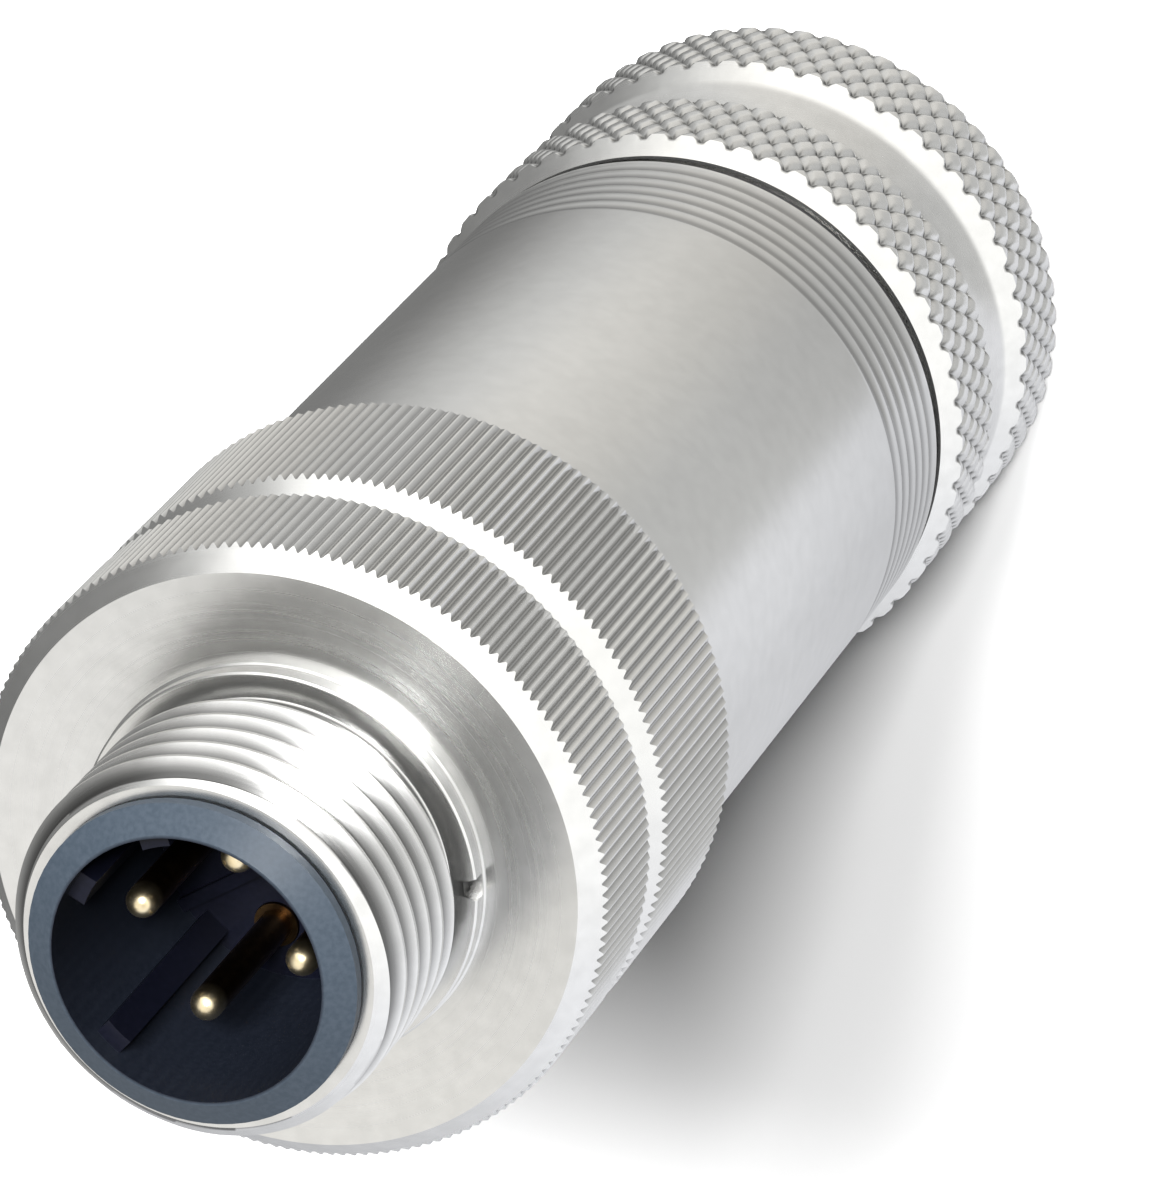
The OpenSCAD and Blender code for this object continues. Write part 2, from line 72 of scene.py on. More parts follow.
def camera_axes(azimuth, elevation, roll):
    """Right, up and back directions of a camera that looks down from an azimuth and an
    elevation, turned by roll around its own line of sight. All angles are in degrees."""
    a, e, turn = radians(azimuth), radians(elevation), radians(roll)
    back = Vector((sin(a) * cos(e), -cos(a) * cos(e), sin(e)))
    level = Vector((cos(a), sin(a), 0))
    rise = back.cross(level)
    right = cos(turn) * level + sin(turn) * rise
    return right, back.cross(right), back


def place(item, spot, right, up, back):
    """Puts a camera or a light at a spot, with its own axes along the given directions."""
    item.matrix_world = Matrix.Translation(spot) @ Matrix((right, up, back)).transposed().to_4x4()
    bpy.context.scene.collection.objects.link(item)
    return item


def add_camera():
    """Long lens that looks at the middle of the connector from above its mating face."""
    aim = Vector((1.394, -0.643, 25.435)) * MM
    distance = 258.08 * MM
    right, up, back = camera_axes(155.23, 59.26, -139.06)
    data = bpy.data.cameras.new("product_camera")
    data.lens = 241.62
    data.sensor_width = 36
    data.clip_start = 0.01
    camera = bpy.data.objects.new("product_camera", data)
    place(camera, aim + distance * back, right, up, back)
    bpy.context.scene.camera = camera
    return right, up, back


def add_softbox(name, direction, size, power):
    """Square area light that shines on the middle of the connector from a direction."""
    data = bpy.data.lights.new(name, "AREA")
    data.shape = "SQUARE"
    data.size = size
    data.energy = power
    back = direction.normalized()
    right = Vector((0, 0, 1)).cross(back).normalized()
    spot = Vector((0, 0, 28 * MM)) + LIGHT_DISTANCE * back
    return place(bpy.data.objects.new(name, data), spot, right, back.cross(right), back)


# Colours of the room that the metal mirrors: (azimuth from the camera's side in degrees,
# value, tint), under the horizon, from the horizon up to half height, and overhead.
WARM, PLAIN, COOL = (1.02, 1.0, 0.96), (1.0, 1.0, 0.99), (0.98, 0.99, 1.03)
ROOM_LOW = [(-180, 0.55, COOL), (-150, 0.80, COOL), (-110, 0.86, COOL), (-90, 1.0, COOL),
            (-63, 1.12, COOL), (-55, 0.72, PLAIN), (-15, 0.70, PLAIN), (15, 0.82, WARM),
            (50, 1.0, WARM), (72, 0.90, PLAIN), (90, 0.68, PLAIN), (110, 0.38, PLAIN),
            (130, 0.22, PLAIN), (165, 0.22, PLAIN), (180, 0.55, PLAIN)]
ROOM_HIGH = [(-180, 0.75, PLAIN), (-135, 1.2, COOL), (-100, 1.25, COOL), (-60, 1.5, PLAIN),
             (50, 1.5, WARM), (75, 0.9, PLAIN), (95, 0.3, PLAIN), (140, 0.3, PLAIN),
             (180, 0.75, PLAIN)]
ROOM_TOP = [(-180, 1.15, WARM), (-120, 1.15, COOL), (-60, 0.7, PLAIN), (0, 0.45, PLAIN),
            (60, 0.5, PLAIN), (120, 1.1, WARM), (180, 1.15, WARM)]
ROOM_PEAK = 1.6


def room_ramp(tree, source, values):
    """Colours round the horizon, from (azimuth, value, tint) stops."""
    stops = [((azimuth + 180) / 360, tuple(value * c / ROOM_PEAK for c in tint))
             for azimuth, value, tint in values]
    return ramp(tree, source, stops)


def add_world(camera_side):
    """Studio that only the gloss sees: soft panels round the horizon, dimmer overhead."""
    world = bpy.data.worlds.new("studio_room")
    world.use_nodes = True
    world.cycles_visibility.diffuse = False
    tree = world.node_tree
    spot = tree.nodes.new("ShaderNodeTexCoord")
    turn = tree.nodes.new("ShaderNodeMapping")
    turn.inputs["Rotation"].default_value = (0, 0, -camera_side)
    tree.links.new(spot.outputs["Generated"], turn.inputs["Vector"])
    around = tree.nodes.new("ShaderNodeTexGradient")
    around.gradient_type = "RADIAL"
    tree.links.new(turn.outputs["Vector"], around.inputs["Vector"])
    parts = tree.nodes.new("ShaderNodeSeparateXYZ")
    tree.links.new(turn.outputs["Vector"], parts.inputs[0])
    low, high, top = (room_ramp(tree, around.outputs["Fac"], values).outputs["Color"]
                      for values in (ROOM_LOW, ROOM_HIGH, ROOM_TOP))
    over_floor = spread(tree, parts.outputs["Z"], 0, 1, -0.25, 0.05).outputs[0]
    walls = mix_colours(tree, over_floor, low, high).outputs[2]
    over_walls = spread(tree, parts.outputs["Z"], 0, 1, 0.6, 0.85).outputs[0]
    room = mix_colours(tree, over_walls, walls, top).outputs[2]
    back = tree.nodes["Background"]
    tree.links.new(room, back.inputs["Color"])
    back.inputs["Strength"].default_value = ROOM_PEAK
    bpy.context.scene.world = world


def add_floor():
    """Plain pale floor, flat and square, level with the rear face of the gland nut."""
    half = 1.5
    corners = [(-half, -half, 0), (half, -half, 0), (half, half, 0), (-half, half, 0)]
    mesh = bpy.data.meshes.new("floor")
    mesh.from_pydata(corners, [], [(0, 1, 2, 3)])
    floor = bpy.data.objects.new("floor", mesh)
    bpy.context.scene.collection.objects.link(floor)
    finish = bpy.data.materials.new("pale_floor")
    finish.use_nodes = True
    shader = finish.node_tree.nodes["Principled BSDF"]
    shader.inputs["Base Color"].default_value = (0.9, 0.9, 0.9, 1)
    shader.inputs["Roughness"].default_value = 0.9
    shader.inputs["Specular IOR Level"].default_value = 0.0
    mesh.materials.append(finish)
    floor.visible_glossy = False


# ---------------------------------------------------------------- surfaces

# Depth of a 60 degree thread, as a share of its pitch.
THREAD_DEPTH = 0.5413


class Skin:
    """Closed skin of one turned piece, made ring by ring.

    Rings follow the section once round: up the outside, in over the top and down the bore.
    Angles grow anticlockwise as seen from above, so that the faces point outwards.
    """

    def __init__(self):
        self.points = []
        self.shade_amounts = []
        self.faces = []
        self.total = 0
        self.rings = []

    def add(self, points, depth=0):
        """Stores an array of points, with how deep in a groove each lies, from 0 to 1, which is how
        much painted shade it takes, and returns their numbers."""
        points = points.reshape(-1, 3)
        self.points.append(points)
        self.shade_amounts.append(np.broadcast_to(depth, len(points)))
        self.total += len(points)
        return np.arange(self.total - len(points), self.total)

    def ring(self, radius, height, angles, depth=0):
        """Ring of points. Radius, height and depth in a groove, which sets the painted shade, are
        each one number or one for every angle."""
        across = np.broadcast_to(radius, angles.shape)
        up = np.broadcast_to(height, angles.shape)
        ids = self.add(np.column_stack((across * np.cos(angles), across * np.sin(angles), up)), depth)
        if self.rings:
            self.join(self.rings[-1], ids)
        self.rings.append(ids)
        return ids

    def profile(self, pairs, angles, depth=0):
        """Plain rings through a list of (radius, height) pairs."""
        for radius, height in pairs:
            self.ring(radius, height, angles, depth)

    def join(self, low, high, swap=None):
        """Triangles between two rings. Where one ring has a whole number of times the
        points of the other, each coarse point takes the fine edges nearest to it."""
        n, m = len(low), len(high)
        if n == m:
            low_next, high_next = np.roll(low, -1), np.roll(high, -1)
            if swap is None:
                swap = np.zeros(n, bool)
            first = np.where(swap[:, None], np.column_stack((low, low_next, high)),
                             np.column_stack((low, low_next, high_next)))
            second = np.where(swap[:, None], np.column_stack((low_next, high_next, high)),
                              np.column_stack((low, high_next, high)))
            self.faces += [first, second]
            return
        fine, coarse = (low, high) if n > m else (high, low)
        k = len(fine) // len(coarse)
        i = np.arange(len(fine))
        near = coarse[((2 * i + 1 + k) // (2 * k)) % len(coarse)]
        fan = np.column_stack((fine, np.roll(fine, -1), near))
        middle = fine[np.arange(len(coarse)) * k + k // 2]
        link = np.column_stack((middle, np.roll(coarse, -1), coarse))
        if n < m:
            fan, link = fan[:, ::-1], link[:, ::-1]
        self.faces += [fan, link]

    def thread(self, low, high, low_r, high_r, crest_r, pitch, angles):
        """Right-hand 60 degree thread between two heights.

        A point at turn t and step s of the section stands at height s + pitch * t, held between the
        two ends. Its radius is the crest's less the depth of the section there, and at most what a
        cone of 45 degrees from each end leaves. The flanks and the root take painted shade as part of
        the groove, apart from where an end cone cuts them.
        """
        turn = angles / tau
        crest, flank, root = 1 / 8, 5 / 16, 1 / 4
        depth = THREAD_DEPTH * pitch
        parts = [(0, crest / 2, 1), (crest / 2, crest / 2 + flank, 4),
                 (crest / 2 + flank, crest / 2 + flank + root, 2),
                 (crest / 2 + flank + root, 1 - crest / 2, 4), (1 - crest / 2, 1, 1)]
        steps = np.concatenate([np.linspace(a, b, n, endpoint=False) for a, b, n in parts])
        away = np.minimum(steps, 1 - steps)
        drop = depth * np.clip((away - crest / 2) / flank, 0, 1)
        turns = int(np.ceil((high - low) / pitch)) + 2
        start = low - 1.5 * pitch
        heights = (start + pitch * (np.arange(turns)[:, None] + steps)).ravel()
        drops = np.tile(drop, turns)
        z = heights[:, None] + pitch * turn[None, :]
        r = crest_r - drops[:, None] + np.zeros_like(z)
        cone = np.minimum(low_r + z - low, high_r + high - z)
        # Painted shade in the thread: none on the crests, growing down the flanks and full at the
        # root.
        groove = np.where(cone < r, 0, np.clip(1.6 * (crest_r - r) / depth, 0, 1))
        r = np.minimum(r, cone)
        inside = (z > low) & (z < high)
        bottom = self.ring(low_r, low, angles)
        points = np.stack((r * np.cos(angles), r * np.sin(angles), z), axis=-1)
        ids = np.empty(z.shape, int)
        ids[inside] = self.add(points[inside], groove[inside])
        top = self.add(np.column_stack((high_r * np.cos(angles), high_r * np.sin(angles),
                                        np.full(len(angles), high))))
        ids = np.where(z <= low, bottom[None, :], ids)
        ids = np.where(z >= high, top[None, :], ids)
        seam = np.concatenate((ids[len(steps):, 0], np.full(len(steps), top[0])))
        grid = np.column_stack((ids, seam))
        a, b = grid[:-1, :-1].ravel(), grid[:-1, 1:].ravel()
        c, d = grid[1:, 1:].ravel(), grid[1:, :-1].ravel()
        self.faces += [np.column_stack((a, b, c)), np.column_stack((a, c, d))]
        self.rings.append(top)

    def finish(self, name, sharp=25):
        """Closes the section and makes the object, with edges sharp above an angle."""
        self.join(self.rings[-1], self.rings[0])
        points = np.concatenate(self.points) * MM
        faces = np.concatenate(self.faces)
        a, b, c = faces.T
        faces = faces[(a != b) & (b != c) & (c != a)]
        mesh = bpy.data.meshes.new(name)
        mesh.from_pydata(points.tolist(), [], faces.tolist())
        # groove attribute: how much painted shade each point takes in the grooves; the finishes
        # darken by it.
        groove = mesh.attributes.new("groove", "FLOAT", "POINT")
        groove.data.foreach_set("value", np.concatenate(self.shade_amounts).astype(np.float32))
        mesh.shade_smooth()
        mesh.set_sharp_from_angle(angle=radians(sharp))
        piece = bpy.data.objects.new(name, mesh)
        bpy.context.scene.collection.objects.link(piece)
        return piece


# Straight knurls: teeth around, depth, and the fine steps across one tooth.
TEETH = 172
TOOTH_DEPTH = 0.13
TOOTH_STEPS = np.array([-0.07, 0.07, 0.25, 0.43, 0.57, 0.75])


def tooth_angles():
    """Angles of the points across all the teeth of a straight knurl."""
    return ((np.arange(TEETH)[:, None] + TOOTH_STEPS) * tau / TEETH).ravel()


def tooth_radii(crest_r):
    """Radius at each point across the teeth: flat crests, straight flanks and flat roots."""
    flat = 0.07
    away = np.abs(TOOTH_STEPS - np.round(TOOTH_STEPS))
    fall = np.clip((away - flat) / (0.5 - 2 * flat), 0, 1)
    return np.tile(crest_r - TOOTH_DEPTH * fall, TEETH)


def straight_knurl(skin, low, high, foot_r, top_r, crest_r):
    """Knurled ring between two heights: the teeth meet a 45 degree cone at each end. The grooves
    between the teeth take painted shade; a second ring a hair away from each cone's edge keeps that
    painted shade off the cone."""
    angles = tooth_angles()
    radii = tooth_radii(crest_r)
    # Painted shade in the grooves between the teeth, at most 0.6 of the full amount.
    groove = 0.6 * (crest_r - radii) / TOOTH_DEPTH
    lift = 0.004
    skin.ring(foot_r, low, angles)
    skin.ring(radii - lift, low + radii - foot_r - lift, angles)
    skin.ring(radii, low + radii - foot_r, angles, groove)
    skin.ring(radii, high - (radii - top_r), angles, groove)
    skin.ring(radii - lift, high - (radii - top_r) + lift, angles)
    skin.ring(top_r, high, angles)


def even_angles(count):
    """Angles of evenly spaced points around the axis."""
    return np.arange(count) * tau / count


FINE = even_angles(2 * TEETH)

# Heights and radii that the frame gives, in millimetres.
FLANGE_Z, NUT_TOP_Z, KNURL_R = span("coupling_nut")
NECK_END_Z, JOINT_Z, _ = span("housing")
_, GLAND_TOP_Z, DIAMOND_R = span("gland_nut")
SHELL_Z, SHELL_TOP_Z, SHELL_THREAD_R = span("front_shell")
_, GASKET_TOP_Z, _ = span("gland_gasket")
THREAD_R = 6.0
RECESS_R = 4.2


def make_coupling_nut():
    """Coupling nut: knurled flange, dished face, collar, relief and the M12x1 thread."""
    face_z = FLANGE_Z + 4.8
    collar_z = face_z - 0.25
    relief_z = collar_z + 0.65
    thread_z = relief_z + 0.5
    collar_r = THREAD_R + 0.3
    relief_r = THREAD_R - 0.55
    bore_r = relief_r - 0.45
    pocket_r = 7.57
    groove_r = 8.1
    chamfer = 0.7
    edge = 0.06
    skin = Skin()
    straight_knurl(skin, FLANGE_Z, face_z, KNURL_R - 0.35, KNURL_R - chamfer, KNURL_R)
    skin.profile([(collar_r + edge, collar_z + edge / 3), (collar_r, collar_z + edge)], FINE)
    notch_depth, notch_w, notch_angle, notch_z = 0.4, 0.6, radians(15), collar_z + 0.15
    off = np.abs(FINE - notch_angle) * collar_r
    notched = np.where(off < notch_w / 2, collar_r - notch_depth, collar_r)
    # cut: painted shade in the index notch.
    cut = (collar_r - notched) / notch_depth
    skin.ring(collar_r, notch_z, FINE)
    skin.ring(notched, notch_z, FINE, cut)
    skin.ring(notched, relief_z - edge, FINE, cut)
    skin.ring(np.minimum(notched, collar_r - edge), relief_z, FINE, cut)
    skin.ring(relief_r + edge, relief_z, FINE)
    # The relief groove under the thread takes full painted shade.
    skin.profile([(relief_r, relief_z + edge), (relief_r, thread_z)], FINE, depth=1)
    minor_r = THREAD_R - THREAD_DEPTH
    skin.thread(thread_z + 0.004, NUT_TOP_Z, relief_r, minor_r, THREAD_R, 1.0, FINE)
    web_z = face_z - 1.2
    groove_low, groove_high = FLANGE_Z + 1.05, FLANGE_Z + 1.85
    skin.profile([(bore_r + edge, NUT_TOP_Z), (bore_r, NUT_TOP_Z - edge), (bore_r, web_z),
                  (pocket_r, web_z), (pocket_r, groove_high), (groove_r, groove_high),
                  (groove_r, groove_low), (pocket_r, groove_low), (pocket_r, FLANGE_Z + 0.1),
                  (pocket_r + 0.1, FLANGE_Z)], FINE)
    return skin.finish("coupling_nut_threaded")


def turned_lines(skin, radius, low, high):
    """Band of shallow turned rings: the radius dips by a squared raised cosine of the height, and the
    band takes painted shade, light on the crests and heavier in the dips.
    """
    pitch, depth, steps = 0.73, 0.06, 8
    count = int((high - low) / pitch)
    for height in np.linspace(0, count * pitch, count * steps + 1):
        share = (0.5 - 0.5 * cos(tau * height / pitch)) ** 2
        # Painted shade: a little on the crests, more in the dips.
        skin.ring(radius - depth * share, low + height, FINE, 0.25 + 0.5 * share)


def make_housing():
    """Housing: rear neck with its thread, smooth barrel and knurled grip ring."""
    barrel_r = KNURL_R - 0.8
    neck_r = 7.62
    barrel_z = GASKET_TOP_Z + 0.05
    grip_z = JOINT_Z - 7
    bore_r = 6.15
    cavity_r = 7.2
    shell_bore_r = SHELL_THREAD_R + 0.07
    edge = 0.2
    skin = Skin()
    minor_r = neck_r - THREAD_DEPTH
    skin.thread(NECK_END_Z, barrel_z - 0.9, minor_r, minor_r, neck_r, 1.0, FINE)
    skin.profile([(minor_r, barrel_z), (barrel_r - 0.3, barrel_z),
                  (barrel_r - 0.06, barrel_z + 0.16), (barrel_r, barrel_z + 0.25)], FINE)
    turned_lines(skin, barrel_r, barrel_z + 0.5, barrel_z + 5.6)
    skin.profile([(barrel_r, grip_z - 0.06), (barrel_r + 0.06, grip_z)], FINE)
    straight_knurl(skin, grip_z, JOINT_Z, KNURL_R - 0.35, KNURL_R - 0.85, KNURL_R)
    seal_r = 7.85
    shoulder_z = GASKET_TOP_Z + 4.25
    skin.profile([(seal_r + edge, JOINT_Z), (seal_r, JOINT_Z - edge), (seal_r, 41.6),
                  (shell_bore_r, 41.2), (shell_bore_r, 34.9), (cavity_r, 34.4),
                  (cavity_r, shoulder_z), (bore_r, shoulder_z), (bore_r, NECK_END_Z)], FINE)
    return skin.finish("housing_turned")


# Diamond knurl of the gland nut.
DIAMONDS = 60
DIAMOND_STEPS = 10
DIAMOND_DEPTH = 0.21


def diamond_groove(angle, height, length):
    """How deep in one groove and in a crossing of two a point lies, each from 0 to 1. Two
    families of V grooves wind round the nut, and take what the flat pads leave."""
    along = angle * DIAMONDS / tau
    pad = 0.52
    one = np.abs((along + height / length) % 1 - 0.5) * 2
    two = np.abs((along - height / length) % 1 - 0.5) * 2
    single = np.clip((np.maximum(one, two) - pad) / (1 - pad), 0, 1)
    both = np.clip((np.minimum(one, two) - pad) / (1 - pad), 0, 1)
    return single, both


def diamond_band(skin, low, band_l, foot, bevel, core_r):
    """One diamond-knurled band, with a foot and a bevel of 45 degrees or more that cut
    across the knurl."""
    angles = even_angles(DIAMONDS * DIAMOND_STEPS)
    half_step = angles[1] / 2
    length = band_l / 2.5
    rows = np.concatenate((np.linspace(-foot, 0, 5)[:-1], np.linspace(0, band_l, 26),
                           np.linspace(band_l, band_l + bevel, 10)[1:]))
    foot_slope = (DIAMOND_R - core_r) / foot
    bevel_slope = (DIAMOND_R - core_r) / bevel

    def surface(angle, height):
        single, both = diamond_groove(angle, height, length)
        radius = DIAMOND_R - DIAMOND_DEPTH * (0.6 * single + 0.4 * both)
        # Painted shade: light in a single groove and heavy where two grooves cross.
        groove = np.clip(0.2 * single + 1.8 * both, 0, 1)
        cone = np.minimum(core_r + (height + foot) * foot_slope,
                          core_r + (band_l + bevel - height) * bevel_slope)
        return np.minimum(radius, cone), np.where(cone < radius, 0, groove)

    for k, height in enumerate(rows):
        radius, groove = surface(angles, height)
        points = np.column_stack((radius * np.cos(angles), radius * np.sin(angles),
                                  np.full(len(angles), low + height)))
        ids = skin.add(points, groove)
        if k:
            middle, _ = surface(angles + half_step, (height + rows[k - 1]) / 2)
            rising = (below + np.roll(radius, -1)) / 2
            falling = (np.roll(below, -1) + radius) / 2
            skin.join(skin.rings[-1], ids, np.abs(falling - middle) < np.abs(rising - middle))
        elif skin.rings:
            skin.join(skin.rings[-1], ids)
        skin.rings.append(ids)
        below = radius


def make_gland_nut():
    """Gland nut: two diamond bands with a hollow waist between them, bored for the cable."""
    band_l, foot, bevel, waist_l = 3.5, 0.35, 0.6, 2.9
    core_r = DIAMOND_R - 0.57
    waist_depth = 0.35
    cable_r, cone_foot_r, cone_r, thread_bore_r = 4.3, 4.9, 6.3, 7.69
    skin = Skin()
    around = even_angles(DIAMONDS * DIAMOND_STEPS)
    diamond_band(skin, foot, band_l, foot, bevel, core_r)
    waist_z = foot + band_l + bevel
    for share in np.linspace(0, 1, 15)[1:-1]:
        dip = waist_depth * (1 - (2 * share - 1) ** 2)
        skin.ring(core_r - dip, waist_z + waist_l * share, around)
    diamond_band(skin, waist_z + waist_l + foot, band_l, foot, bevel, core_r)
    coarse = even_angles(DIAMONDS * 2)
    mouth_z, floor_z, hole_z, chamfer = GLAND_TOP_Z - 0.15, 4.8, 2.0, 0.3
    skin.profile([(core_r - 0.1, GLAND_TOP_Z - 0.02), (core_r - 0.3, mouth_z),
                  (thread_bore_r + chamfer, mouth_z), (thread_bore_r, GLAND_TOP_Z - 0.45),
                  (thread_bore_r, floor_z), (cone_r, floor_z), (cone_r, 4.2),
                  (cone_foot_r, hole_z), (cable_r, hole_z), (cable_r, chamfer),
                  (cable_r + chamfer, 0)], coarse)
    return skin.finish("gland_nut_knurled", sharp=20)


def make_front_shell():
    """Inner shell with its rear thread, seal groove, neck, snap ring groove and front wall."""
    skin = Skin()
    thread_top, seal_low, seal_high, snap_low, snap_high = 41.05, 41.5, 42.5, 44.55, 45.15
    neck_r, seal_r, snap_r, bore_r, mouth_r = 7.5, 6.78, 7.0, 6.45, 5.0
    inner_z = SHELL_TOP_Z - 0.75
    minor_r = SHELL_THREAD_R - THREAD_DEPTH
    skin.ring(minor_r - 0.1, SHELL_Z, FINE)
    skin.thread(SHELL_Z + 0.1, thread_top, minor_r, minor_r, SHELL_THREAD_R, 1.0, FINE)
    skin.profile([(neck_r, thread_top + 0.05), (neck_r, seal_low), (seal_r, seal_low),
                  (seal_r, seal_high), (neck_r, seal_high), (neck_r, snap_low),
                  (snap_r, snap_low), (snap_r, snap_high), (neck_r, snap_high),
                  (neck_r, SHELL_TOP_Z - 0.2), (neck_r - 0.2, SHELL_TOP_Z),
                  (mouth_r, SHELL_TOP_Z), (mouth_r, inner_z), (bore_r, inner_z),
                  (bore_r, SHELL_Z)], FINE)
    return skin.finish("front_shell_threaded")


# ---------------------------------------------------------------- finishes

# Share of brightness that a groove's bottom keeps under painted shade, and the heights of the lathe
# marks and the grain.
GROOVE_SHADE = 0.22
LATHE_HEIGHT = 0.002 * MM
GRAIN_HEIGHT = 0.004 * MM


def new_finish(name, colour, metal, rough, specular=0.5):
    """Material with a Principled shader set to plain values. Returns it and its node tree."""
    material = bpy.data.materials.new(name)
    material.use_nodes = True
    shader = material.node_tree.nodes["Principled BSDF"]
    shader.inputs["Base Color"].default_value = (*colour, 1)
    shader.inputs["Metallic"].default_value = metal
    shader.inputs["Roughness"].default_value = rough
    shader.inputs["Specular IOR Level"].default_value = specular
    return material, material.node_tree


def turned_coordinates(tree):
    """Object coordinates, and coordinates that change only with height and radius, as the
    marks of a lathe do."""
    spot = tree.nodes.new("ShaderNodeTexCoord")
    flat = tree.nodes.new("ShaderNodeVectorMath")
    flat.operation = "MULTIPLY"
    flat.inputs[1].default_value = (1, 1, 0)
    tree.links.new(spot.outputs["Object"], flat.inputs[0])
    radius = tree.nodes.new("ShaderNodeVectorMath")
    radius.operation = "LENGTH"
    tree.links.new(flat.outputs[0], radius.inputs[0])
    parts = tree.nodes.new("ShaderNodeSeparateXYZ")
    tree.links.new(spot.outputs["Object"], parts.inputs[0])
    both = tree.nodes.new("ShaderNodeCombineXYZ")
    tree.links.new(parts.outputs["Z"], both.inputs["X"])
    tree.links.new(radius.outputs["Value"], both.inputs["Y"])
    return spot, both


def noise(tree, source, scale, detail=2, rough=0.5):
    """Noise texture on the given coordinates."""
    node = tree.nodes.new("ShaderNodeTexNoise")
    node.inputs["Scale"].default_value = scale
    node.inputs["Detail"].default_value = detail
    node.inputs["Roughness"].default_value = rough
    tree.links.new(source, node.inputs["Vector"])
    return node


def ramp(tree, source, stops):
    """Colour ramp through (position, colour) stops."""
    node = tree.nodes.new("ShaderNodeValToRGB")
    bar = node.color_ramp.elements
    while len(bar) < len(stops):
        bar.new(0.5)
    for element, (position, colour) in zip(bar, stops):
        element.position = position
        element.color = (*colour, 1)
    tree.links.new(source, node.inputs["Fac"])
    return node


def mix_colours(tree, share, first, second):
    """Blends from a first to a second colour; each is a socket or a plain colour."""
    node = tree.nodes.new("ShaderNodeMix")
    node.data_type = "RGBA"
    tree.links.new(share, node.inputs[0])
    for socket, colour in ((node.inputs[6], first), (node.inputs[7], second)):
        if isinstance(colour, tuple):
            socket.default_value = colour
        else:
            tree.links.new(colour, socket)
    return node


def spread(tree, source, low, high, start=0, end=1):
    """Maps a value from start..end to low..high, and holds it at the ends."""
    node = tree.nodes.new("ShaderNodeMapRange")
    node.inputs["From Min"].default_value = start
    node.inputs["From Max"].default_value = end
    node.inputs["To Min"].default_value = low
    node.inputs["To Max"].default_value = high
    tree.links.new(source, node.inputs["Value"])
    return node


def bump(tree, source, height, strength):
    """Bump from a height source."""
    node = tree.nodes.new("ShaderNodeBump")
    node.inputs["Distance"].default_value = height
    node.inputs["Strength"].default_value = strength
    tree.links.new(source, node.inputs["Height"])
    return node


def plated_metal(name, dark, light, rough_low, rough_high):
    """Satin plated metal: faint clouds in colour and gloss over fine marks of the lathe. The bottom
    of a groove is painted darker as shade and keeps only a share of the brightness."""
    material, tree = new_finish(name, light, 1.0, rough_low)
    shader = tree.nodes["Principled BSDF"]
    spot, lathe = turned_coordinates(tree)
    clouds = noise(tree, spot.outputs["Object"], 1500, 4)
    tint = ramp(tree, clouds.outputs["Fac"], [(0.3, dark), (0.7, light)])
    # Painted shade: the colour darkens towards the bottom of a groove, by the groove attribute.
    depth = tree.nodes.new("ShaderNodeAttribute")
    depth.attribute_name = "groove"
    deep = (*(GROOVE_SHADE * c for c in dark), 1)
    shade = spread(tree, depth.outputs["Fac"], 0, 1, 0.1, 1)
    groove_shaded = mix_colours(tree, shade.outputs[0], tint.outputs["Color"], deep)
    tree.links.new(groove_shaded.outputs[2], shader.inputs["Base Color"])
    marks = noise(tree, lathe.outputs[0], 9000, 3)
    gloss = spread(tree, marks.outputs["Fac"], rough_low, rough_high)
    tree.links.new(gloss.outputs[0], shader.inputs["Roughness"])
    lines = bump(tree, marks.outputs["Fac"], LATHE_HEIGHT, 0.5)
    tree.links.new(lines.outputs[0], shader.inputs["Normal"])
    return material


def grain_tint(tree, grain, dark, light):
    """Colour that a fine grain turns from a dark to a light one."""
    return ramp(tree, grain.outputs["Fac"], [(0.35, dark), (0.65, light)]).outputs["Color"]


def moulded(name, colour, rough):
    """Moulded plastic or rubber with a fine grain."""
    material, tree = new_finish(name, colour, 0.0, rough)
    shader = tree.nodes["Principled BSDF"]
    spot = tree.nodes.new("ShaderNodeTexCoord")
    fine = noise(tree, spot.outputs["Object"], 6000, 3)
    low = tuple(0.8 * c for c in colour)
    high = tuple(min(1.2 * c, 1) for c in colour)
    tree.links.new(grain_tint(tree, fine, low, high), shader.inputs["Base Color"])
    gloss = spread(tree, fine.outputs["Fac"], rough - 0.05, rough + 0.05)
    tree.links.new(gloss.outputs[0], shader.inputs["Roughness"])
    skin = bump(tree, fine.outputs["Fac"], GRAIN_HEIGHT, 0.4)
    tree.links.new(skin.outputs[0], shader.inputs["Normal"])
    return material


def insulator():
    """Moulded black insulator: painted blue-grey reflection round the rim of the nose, painted near
    black shade in the recess.
    """
    material, tree = new_finish("insulator_plastic", (0.006, 0.007, 0.012), 0.0, 0.4, 0.2)
    shader = tree.nodes["Principled BSDF"]
    spot, lathe = turned_coordinates(tree)
    parts = tree.nodes.new("ShaderNodeSeparateXYZ")
    tree.links.new(lathe.outputs[0], parts.inputs[0])
    # Radius where the painted shade of the recess gives way to the painted reflection on the rim.
    inner, outer = (RECESS_R - 0.02) * MM, (RECESS_R + 0.1) * MM
    outside = spread(tree, parts.outputs["Y"], 0, 1, inner, outer)
    fine = noise(tree, spot.outputs["Object"], 6000, 3)
    # Painted shade: near black inside the recess.
    deep = grain_tint(tree, fine, (0.0025, 0.003, 0.007), (0.0035, 0.004, 0.009))
    # Painted reflection: blue-grey round the rim of the nose.
    rim = grain_tint(tree, fine, (0.035, 0.047, 0.062), (0.045, 0.058, 0.075))
    tint = mix_colours(tree, outside.outputs[0], deep, rim)
    tree.links.new(tint.outputs[2], shader.inputs["Base Color"])
    gloss = spread(tree, fine.outputs["Fac"], 0.36, 0.46)
    tree.links.new(gloss.outputs[0], shader.inputs["Roughness"])
    skin = bump(tree, fine.outputs["Fac"], GRAIN_HEIGHT, 0.4)
    tree.links.new(skin.outputs[0], shader.inputs["Normal"])
    return material


